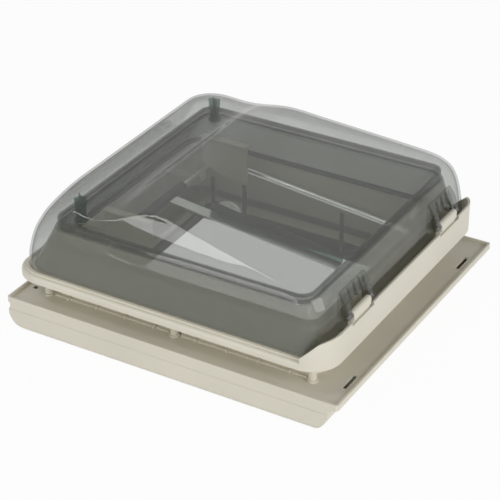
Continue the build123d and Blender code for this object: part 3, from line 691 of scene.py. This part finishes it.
@dataclass
class FinishSet:
    """The vent's finishes, each made into a material once, at its first use."""

    cream: Finish = MouldedPlastic("cream_plastic", (0.685, 0.652, 0.55))
    clear: Finish = Acrylic("clear_acrylic", (0.845, 0.85, 0.845), (0.59, 0.60, 0.59))
    # The smoked skin is frosted low down, with painted shade on its upright walls above the
    # frost.
    smoked: Finish = Acrylic(
        "smoked_acrylic", (0.93, 0.94, 0.925), (0.50, 0.53, 0.50), frost=FrostAndPaintedShade(0.1502)
    )
    thick: Finish = Acrylic(
        "thick_acrylic", (0.46, 0.62, 0.56), (0.01, 0.05, 0.04), (0.03, 0.07, 0.06), 0.2
    )
    shaded: Finish = Acrylic("shaded_acrylic", (0.74, 0.745, 0.735), (0.38, 0.39, 0.38))
    net: Finish = Net("flyscreen_net", (0.32, 0.33, 0.32))
    blind: Finish = MouldedPlastic(
        "blind_fabric", (0.62, 0.60, 0.52), Sheen.MATTE, 0.05, 2600.0, 0.00006
    )
    rubber: Finish = MouldedPlastic(
        "seal_rubber", (0.02, 0.02, 0.02), Sheen.MATTE, 0.2, 900.0, 0.00003
    )
    steel: Finish = Metal("zinc_steel", (0.62, 0.63, 0.65), 0.34)
    aluminium: Finish = Metal("bow_aluminium", (0.9, 0.9, 0.89), 0.3)
    grip: Finish = MouldedPlastic("grip_plastic", (0.035, 0.037, 0.035), Sheen.MATTE, 0.1)
    made: dict[str, bpy.types.Material] = field(default_factory=dict)

    def of_slot(self, slot: Slot) -> Finish:
        """Look up the finish of a slot.

        Args:
            slot: One of the record's slots.

        Returns:
            Its finish.
        """
        return {
            Slot.CREAM_PLASTIC: self.cream,
            Slot.CLEAR_ACRYLIC: self.clear,
            Slot.SMOKED_ACRYLIC: self.smoked,
            Slot.FLYSCREEN_NET: self.net,
            Slot.BLIND_FABRIC: self.blind,
            Slot.SEAL_RUBBER: self.rubber,
            Slot.ZINC_STEEL: self.steel,
            Slot.BOW_ALUMINIUM: self.aluminium,
            Slot.GRIP_PLASTIC: self.grip,
        }[slot]

    def material(self, finish: Finish) -> bpy.types.Material:
        """Give the material of a finish.

        Args:
            finish: The finish.

        Returns:
            Its material, made now if it wasn't yet.
        """
        if finish.name not in self.made:
            self.made[finish.name] = finish.make()
        return self.made[finish.name]


@dataclass
class OuterDome:
    """The clear outer dome, all in millimetres.

    A rounded rectangle rises and draws in by a wall curve until it meets the wavy roof.
    The heights and the places along X are knots, and the tuples after each give the
    wall's insets and the roof's crown and ridge at them.
    """

    left: float = -227.5
    right: float = 213.5
    half: float = 205.5
    base: float = 90.3
    top: float = 216.0
    radius: float = 33.0
    radius_growth: float = 0.45
    skin: float = 3.0
    heights: tuple[float, ...] = (
        90.0, 108.5, 128.6, 144.0, 156.7, 166.6, 177.6, 188.0, 198.0, 208.0, 218.0,
    )
    inset_left: tuple[float, ...] = (
        0.0, 1.0, 5.8, 11.5, 19.0, 24.5, 31.5, 39.0, 48.5, 60.0, 72.0,
    )
    inset_right: tuple[float, ...] = (
        0.0, 1.8, 3.6, 6.5, 10.4, 16.0, 25.0, 37.0, 52.0, 68.0, 84.0,
    )
    inset_side: tuple[float, ...] = (
        0.0, 0.4, 1.0, 1.8, 2.4, 4.0, 12.5, 22.5, 32.5, 41.0, 50.0,
    )
    end_reach: float = 12.0
    side_reach: float = 9.0
    roof_x: tuple[float, ...] = (
        -229.0, -184.0, -150.0, -125.0, -108.0, -86.0, -68.0, -45.0, -22.0, 0.0,
        40.0, 90.0, 145.0, 180.0, 214.0,
    )
    crown: tuple[float, ...] = (
        199.0, 201.5, 198.0, 193.5, 193.0, 199.5, 204.5, 206.3, 205.0, 202.2,
        199.5, 196.0, 190.0, 184.5, 178.0,
    )
    ridge_z: tuple[float, ...] = (
        183.0, 183.5, 183.2, 182.2, 184.0, 190.5, 196.5, 202.5, 202.0, 198.5,
        192.5, 184.5, 176.5, 169.0, 163.0,
    )
    ridge_y: tuple[float, ...] = (
        195.0, 193.5, 191.5, 189.0, 186.5, 179.0, 174.5, 168.5, 167.0, 168.5,
        177.5, 187.5, 195.5, 201.5, 203.0,
    )
    roof_reach: float = 15.0
    fall_power: int = 5
    crease: float = -86.0
    crease_rise: float = 4.0
    crease_reach: float = 9.0
    edge_points: int = 46
    corner_points: int = 22
    levels: int = 1600
    wall_rows: int = 70
    wall_spread: float = 1.25
    roof_rows: int = 90
    roof_spread: float = 1.15
    middle_reach: float = 150.0
    middle_share: float = 0.75
    knee_rows: int = 9
    knee_passes: int = 8
    hinge_side: float = 198.0
    hinge_edge: float = 110.5
    recess_y: float = 121.0
    recess_half: float = 25.0
    recess_top: float = 139.0
    merge: float = 0.2

    def roof(self, x: np.ndarray, y: np.ndarray) -> np.ndarray:
        """The roof's height.

        It is the crown's, less a drop that grows with a high power of the share of the
        way out to the ridge. A crease that dies away on both sides is added across it.

        Args:
            x: Places along the vent.
            y: Places across it.

        Returns:
            The heights at the places.
        """
        crown = soft_curve(self.roof_x, self.crown, x, self.roof_reach)
        ridge = soft_curve(self.roof_x, self.ridge_z, x, self.roof_reach)
        out = soft_curve(self.roof_x, self.ridge_y, x, self.roof_reach)
        away = np.abs(x - self.crease) / self.crease_reach
        crown = crown + self.crease_rise * np.exp(-away)
        return crown - (crown - ridge) * (np.abs(y) / out) ** self.fall_power

    def outline(self, heights: np.ndarray) -> np.ndarray:
        """The wall's rounded outlines.

        Args:
            heights: The heights at which the wall is cut.

        Returns:
            An array of heights by points by 2. The corners grow as the sides draw in.
        """
        left = soft_curve(self.heights, self.inset_left, heights, self.end_reach)
        right = soft_curve(self.heights, self.inset_right, heights, self.end_reach)
        side = soft_curve(self.heights, self.inset_side, heights, self.side_reach)
        half = self.half - side
        return rounded_outline(
            self.left + left,
            self.right - right,
            half,
            self.radius + self.radius_growth * (self.half - half),
            self.edge_points,
            self.corner_points,
        )

    def wall(self) -> np.ndarray:
        """The wall, from its foot up to the roof.

        At each place round the outline, the wall is followed up to where the roof stops
        lying above it, read between two levels. Its rows lie closer towards the top.

        Returns:
            An array of rows by points by 3.
        """
        levels = np.linspace(self.base, self.top, self.levels)
        step = levels[1] - levels[0]
        walls = self.outline(levels)
        above = self.roof(walls[..., 0], walls[..., 1]) - levels[:, None]
        meet = np.argmax(above < 0, axis=0)
        columns = np.arange(walls.shape[1])
        low, high = above[meet - 1, columns], above[meet, columns]
        top = levels[meet - 1] + low / (low - high) * step
        share = np.linspace(0, 1, self.wall_rows)[:, None]
        rise = self.base + (top - self.base) * (1 - (1 - share) ** self.wall_spread)
        exact = (rise - levels[0]) / step
        below = np.clip(np.floor(exact).astype(int), 0, len(levels) - 2)
        blend = (exact - below)[..., None]
        plan = walls[below, columns] * (1 - blend) + walls[below + 1, columns] * blend
        return np.concatenate((plan, rise[..., None]), axis=-1)

    def cover(self, edge: np.ndarray) -> np.ndarray:
        """The roof, from the wall's top edge in to the middle line.

        Each point runs straight towards its place on the middle line in plan, and takes
        the roof's height there. The rows lie closer towards the edge.

        Args:
            edge: The wall's top edge, points by 2.

        Returns:
            An array of rows by points by 3, without the edge itself.
        """
        reach = np.clip(edge[:, 0], -self.middle_reach, self.middle_reach)
        middle = np.stack((reach * self.middle_share, np.zeros(len(edge))), axis=-1)
        inward = np.linspace(0, 1, self.roof_rows)[1:, None, None] ** self.roof_spread
        plan = edge * (1 - inward) + middle * inward
        height = self.roof(plan[..., 0], plan[..., 1])
        return np.concatenate((plan, height[..., None]), axis=-1)

    def points(self) -> np.ndarray:
        """The dome's outer side, from its foot over the roof to the middle line.

        The knee between the wall and the roof is rounded by averaging each row with its
        neighbours, fully at the knee and less with each row away from it.

        Returns:
            An array of rows by points by 3.
        """
        wall = self.wall()
        points = np.concatenate((wall, self.cover(wall[-1, :, :2])), axis=0)
        away = np.abs(np.arange(len(points)) - (self.wall_rows - 1))
        knee = np.clip(1 - away / self.knee_rows, 0, 1)[:, None, None]
        for _ in range(self.knee_passes):
            calm = points.copy()
            calm[1:-1] = (points[:-2] + 2 * points[1:-1] + points[2:]) / 4
            points = points * (1 - knee) + calm * knee
        return points

    def kept(self, points: np.ndarray, faces: np.ndarray) -> np.ndarray:
        """Which faces stay, where the hinge side is cut.

        Args:
            points: The dome's points, as one list.
            faces: Its quads.

        Returns:
            False for the faces below the hinge side's edge and round the hinge blocks.
        """
        x, y, z = points[faces].mean(axis=1).T
        hinge_side = x > self.hinge_side
        straight = np.abs(y) < self.half - self.radius
        block = np.abs(np.abs(y) - self.recess_y) < self.recess_half
        low_edge = hinge_side & straight & (z < self.hinge_edge)
        recess = hinge_side & block & (z < self.recess_top)
        return ~(low_edge | recess)

    def close(self, mesh: bpy.types.Mesh) -> None:
        """Merge the points that meet on the middle line, and turn all faces outwards.

        Args:
            mesh: The dome's mesh.
        """
        form = bmesh.new()
        form.from_mesh(mesh)
        bmesh.ops.remove_doubles(form, verts=form.verts, dist=self.merge * MM)
        bmesh.ops.recalc_face_normals(form, faces=form.faces)
        form.to_mesh(mesh)
        form.free()

    def build(self, finishes: FinishSet) -> bpy.types.Object:
        """The dome as one shell of even thickness, open below.

        Args:
            finishes: The vent's finishes.

        Returns:
            The dome's object.
        """
        points = self.points()
        rows, columns = points.shape[:2]
        points = points.reshape(-1, 3)
        faces = grid_faces(rows, columns, closed=True)
        used, numbers = np.unique(faces[self.kept(points, faces)], return_inverse=True)
        piece = surface("dome_shell", points[used], numbers.reshape(-1, 4), smooth=True)
        self.close(piece.data)
        piece.data.materials.append(finishes.material(finishes.clear))
        thicken(piece, "wall", self.skin, offset=-1.0)
        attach(piece, "lid")
        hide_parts("outer_dome")
        return piece


@dataclass
class PleatedScreen:
    """A pleated screen between its cassette and its end bar, in millimetres.

    The fixed and the moving edge are places along Y, and the level is the height of the
    screen's middle plane.
    """

    name: str
    node: str
    cassette: str
    bar_body: str
    slot: Slot
    fixed: float
    moving: float
    level: float
    pleat: float
    pleats: int
    left: float = -170.1
    right: float = 150.1
    cloth: float = 0.3
    sharpness: float = 0.96
    points_per_pleat: int = 8
    points_across: int = 9

    def folds(self) -> tuple[np.ndarray, np.ndarray]:
        """The screen's profile.

        The height is a rounded zigzag, the arcsine of a sine, so each pleat is a pair of
        nearly flat faces.

        Returns:
            The points' places along Y and their heights.
        """
        along = np.linspace(0, 1, self.pleats * self.points_per_pleat + 1)
        wave = np.arcsin(self.sharpness * np.sin(2 * np.pi * self.pleats * along))
        y = self.fixed + (self.moving - self.fixed) * along
        return y, self.level + wave / np.arcsin(self.sharpness) * self.pleat / 2

    def build(self, finishes: FinishSet) -> bpy.types.Object:
        """The screen as a folded sheet, the same all across its width.

        Args:
            finishes: The vent's finishes.

        Returns:
            The screen's object.
        """
        y, z = self.folds()
        x = np.linspace(self.left, self.right, self.points_across)
        rows = np.broadcast_arrays(x[None, :], y[:, None], z[:, None])
        grid = np.stack(rows, axis=-1)
        faces = grid_faces(len(y), len(x), closed=False)
        piece = surface(self.name, grid.reshape(-1, 3), faces, smooth=False)
        thicken(piece, "cloth", self.cloth, offset=0.0)
        piece.data.materials.append(finishes.material(finishes.of_slot(self.slot)))
        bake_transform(piece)
        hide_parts(self.node)
        return piece


@dataclass
class SubAssembly:
    """Pieces that belong together and keep their CAD shape."""

    finishes: FinishSet
    nodes: tuple[str, ...] = ()

    def finish_of(self, node: str, slot: Slot) -> Finish:
        """The finish of a piece, which is its slot's."""
        return self.finishes.of_slot(slot)

    def build(self) -> None:
        """Give each piece its finish."""
        rows = {row["node"]: row for row in frame["record"]["subparts"]}
        for node in self.nodes:
            finish = self.finish_of(node, Slot(rows[node]["material_slot"]))
            slots = frame["nodes"][node].data.materials
            slots.clear()
            slots.append(self.finishes.material(finish))
            LOG.info("dressed %s with %s", node, finish.name)


@dataclass
class CeilingUnit(SubAssembly):
    """The frame below the roof, with the screens' cassettes and guides."""

    nodes: tuple[str, ...] = (
        "ceiling_frame",
        "ceiling_bezel",
        "flyscreen_cassette",
        "blind_cassette",
        "screen_guide_left",
        "screen_guide_right",
        "mounting_screws",
    )


@dataclass
class RoofUnit(SubAssembly):
    """The frame on the roof, with its seal, deflector, hinge blocks and bow brackets."""

    nodes: tuple[str, ...] = (
        "roof_frame",
        "lid_seal",
        "wind_deflector",
        "hinge_block_front",
        "hinge_block_back",
        "hinge_pin_front",
        "hinge_pin_back",
        "bow_bracket_front",
        "bow_bracket_back",
        "bow_pin_front",
        "bow_pin_back",
        "bow_clip_front",
        "bow_clip_back",
    )


@dataclass
class Lid(SubAssembly):
    """The double-skinned lid that swings on the hinge pins."""

    nodes: tuple[str, ...] = (
        "outer_dome",
        "inner_skin",
        "spacer_post_front",
        "spacer_post_back",
        "post_screws",
        "hinge_base_front",
        "hinge_base_back",
        "bow_rail_front",
        "bow_rail_back",
        "stay_rail",
        "stay_strip",
        "stay_grip",
    )
    dome: OuterDome = field(default_factory=OuterDome)

    def finish_of(self, node: str, slot: Slot) -> Finish:
        """The finish of a piece.

        Args:
            node: The piece's name.
            slot: Its slot.

        Returns:
            The thick acrylic for the posts and the stay's rail, the shaded one for the
            hinge bases, and the slot's finish for all others.
        """
        if node.startswith(("spacer_post", "stay_rail")):
            return self.finishes.thick
        if node.startswith("hinge_base"):
            return self.finishes.shaded
        return super().finish_of(node, slot)

    def build(self) -> None:
        """Dress the lid's pieces and build the dome."""
        super().build()
        LOG.info("built %s", self.dome.build(self.finishes).name)


@dataclass
class OpeningBow(SubAssembly):
    """The bent rod that lifts the lid, with its grip."""

    nodes: tuple[str, ...] = ("opening_bow", "bow_grip")


@dataclass
class Screens(SubAssembly):
    """The flyscreen and the blind with their end bars."""

    nodes: tuple[str, ...] = (
        "flyscreen_bar",
        "blind_bar",
        "flyscreen_cloth",
        "blind_cloth",
    )
    flyscreen: PleatedScreen = field(
        default_factory=lambda: PleatedScreen(
            name="flyscreen_pleats",
            node="flyscreen_cloth",
            cassette="flyscreen_cassette",
            bar_body="flyscreen_end_bar",
            slot=Slot.FLYSCREEN_NET,
            fixed=169.4,
            moving=-141.5,
            level=21.0,
            pleat=1.6,
            pleats=26,
        )
    )
    blind: PleatedScreen = field(
        default_factory=lambda: PleatedScreen(
            name="blind_pleats",
            node="blind_cloth",
            cassette="blind_cassette",
            bar_body="blind_end_bar",
            slot=Slot.BLIND_FABRIC,
            fixed=-169.4,
            moving=-151.7,
            level=9.2,
            pleat=5.0,
            pleats=9,
        )
    )

    def build(self) -> None:
        """Dress the end bars and build both screens."""
        super().build()
        for screen in (self.flyscreen, self.blind):
            LOG.info("built %s", screen.build(self.finishes).name)


@dataclass(frozen=True)
class Lamp:
    """A square soft lamp aimed at the vent: place and size in metres, power in watts."""

    name: str
    place: Point
    power: float
    size: float
    aim_height: float = 0.1

    def build(self) -> None:
        """Put the lamp into the scene, turned to look at its aim."""
        data = bpy.data.lights.new(self.name, "AREA")
        data.energy = self.power
        data.size = self.size
        lamp = bpy.data.objects.new(self.name, data)
        lamp.location = self.place
        x, y, z = self.place
        tilt = math.atan2(math.hypot(x, y), z - self.aim_height)
        lamp.rotation_euler = (tilt, 0, math.atan2(x, -y))
        bpy.context.scene.collection.objects.link(lamp)


@dataclass
class Studio:
    """A pale floor, a white surround and soft lamps, seen from the photograph's place."""

    place: Point = (1.0539, -1.8099, 1.3263)
    turn: Point = (59.182, 0.0, 30.374)
    lens: float = 134.5
    sensor: float = 36.0
    clip_end: float = 50.0
    floor_reach: float = 30000.0
    floor_level: float = -0.3
    floor_grey: Colour = (0.85, 0.85, 0.85)
    white: Colour = (1.0, 1.0, 1.0)
    floor_seen: float = 0.95
    surround_light: float = 0.3
    lamps: tuple[Lamp, ...] = (
        Lamp("key", (-1.1, -1.2, 2.1), 10.0, 0.7),
        Lamp("front", (-0.4, -2.6, 0.5), 27.0, 1.8),
        Lamp("fill", (2.5, -0.6, 0.9), 37.0, 1.8),
    )

    def camera(self) -> None:
        """Put the camera at the photograph's viewing angle."""
        data = bpy.data.cameras.new("camera")
        data.lens = self.lens
        data.sensor_width = self.sensor
        data.clip_end = self.clip_end
        shot = bpy.data.objects.new("camera", data)
        shot.location = self.place
        shot.rotation_euler = tuple(math.radians(angle) for angle in self.turn)
        bpy.context.scene.collection.objects.link(shot)
        bpy.context.scene.camera = shot

    def floor(self) -> None:
        """Lay a pale floor that shows white to the camera and keeps a soft shadow."""
        reach, level = self.floor_reach, self.floor_level
        plan = ((-reach, -reach), (reach, -reach), (reach, reach), (-reach, reach))
        corners = np.array([(*place, level) for place in plan])
        floor = surface("floor", corners, np.array([(0, 1, 2, 3)]), smooth=False)
        material = bpy.data.materials.new("floor_white")
        nodes = Nodes.emptied(material)
        matte = nodes.shader("ShaderNodeBsdfDiffuse", Color=self.floor_grey)
        glow = nodes.shader("ShaderNodeEmission", Color=self.white, Strength=1.0)
        share = nodes.seen(self.floor_seen)
        nodes.show(nodes.mix(share, matte.outputs[0], glow.outputs[0]))
        floor.data.materials.append(material)

    def surround(self) -> None:
        """Make an even white surround, brighter to the camera than as a lamp."""
        world = bpy.data.worlds.new("studio")
        bpy.context.scene.world = world
        nodes = Nodes.emptied(world)
        light = nodes.shader(
            "ShaderNodeBackground", Color=self.white, Strength=self.surround_light
        )
        white = nodes.shader("ShaderNodeBackground", Color=self.white, Strength=1.0)
        mixed = nodes.mix(nodes.seen(1.0), light.outputs[0], white.outputs[0])
        nodes.show(mixed, "ShaderNodeOutputWorld")

    def build(self) -> None:
        """Set up camera, floor, surround and lamps."""
        self.camera()
        self.floor()
        self.surround()
        for lamp in self.lamps:
            lamp.build()
        bpy.context.scene.view_settings.view_transform = "Standard"


def main() -> None:
    """Build and dress the vent's sub-assemblies, and set up the studio."""
    finishes = FinishSet()
    groups = (
        CeilingUnit(finishes),
        RoofUnit(finishes),
        Lid(finishes),
        OpeningBow(finishes),
        Screens(finishes),
    )
    bare = set(frame["nodes"]).difference(*(group.nodes for group in groups))
    if bare:
        raise RuntimeError(f"no finish for {sorted(bare)}")
    for group in groups:
        group.build()
    Studio().build()


if __name__ == "__main__":
    main()
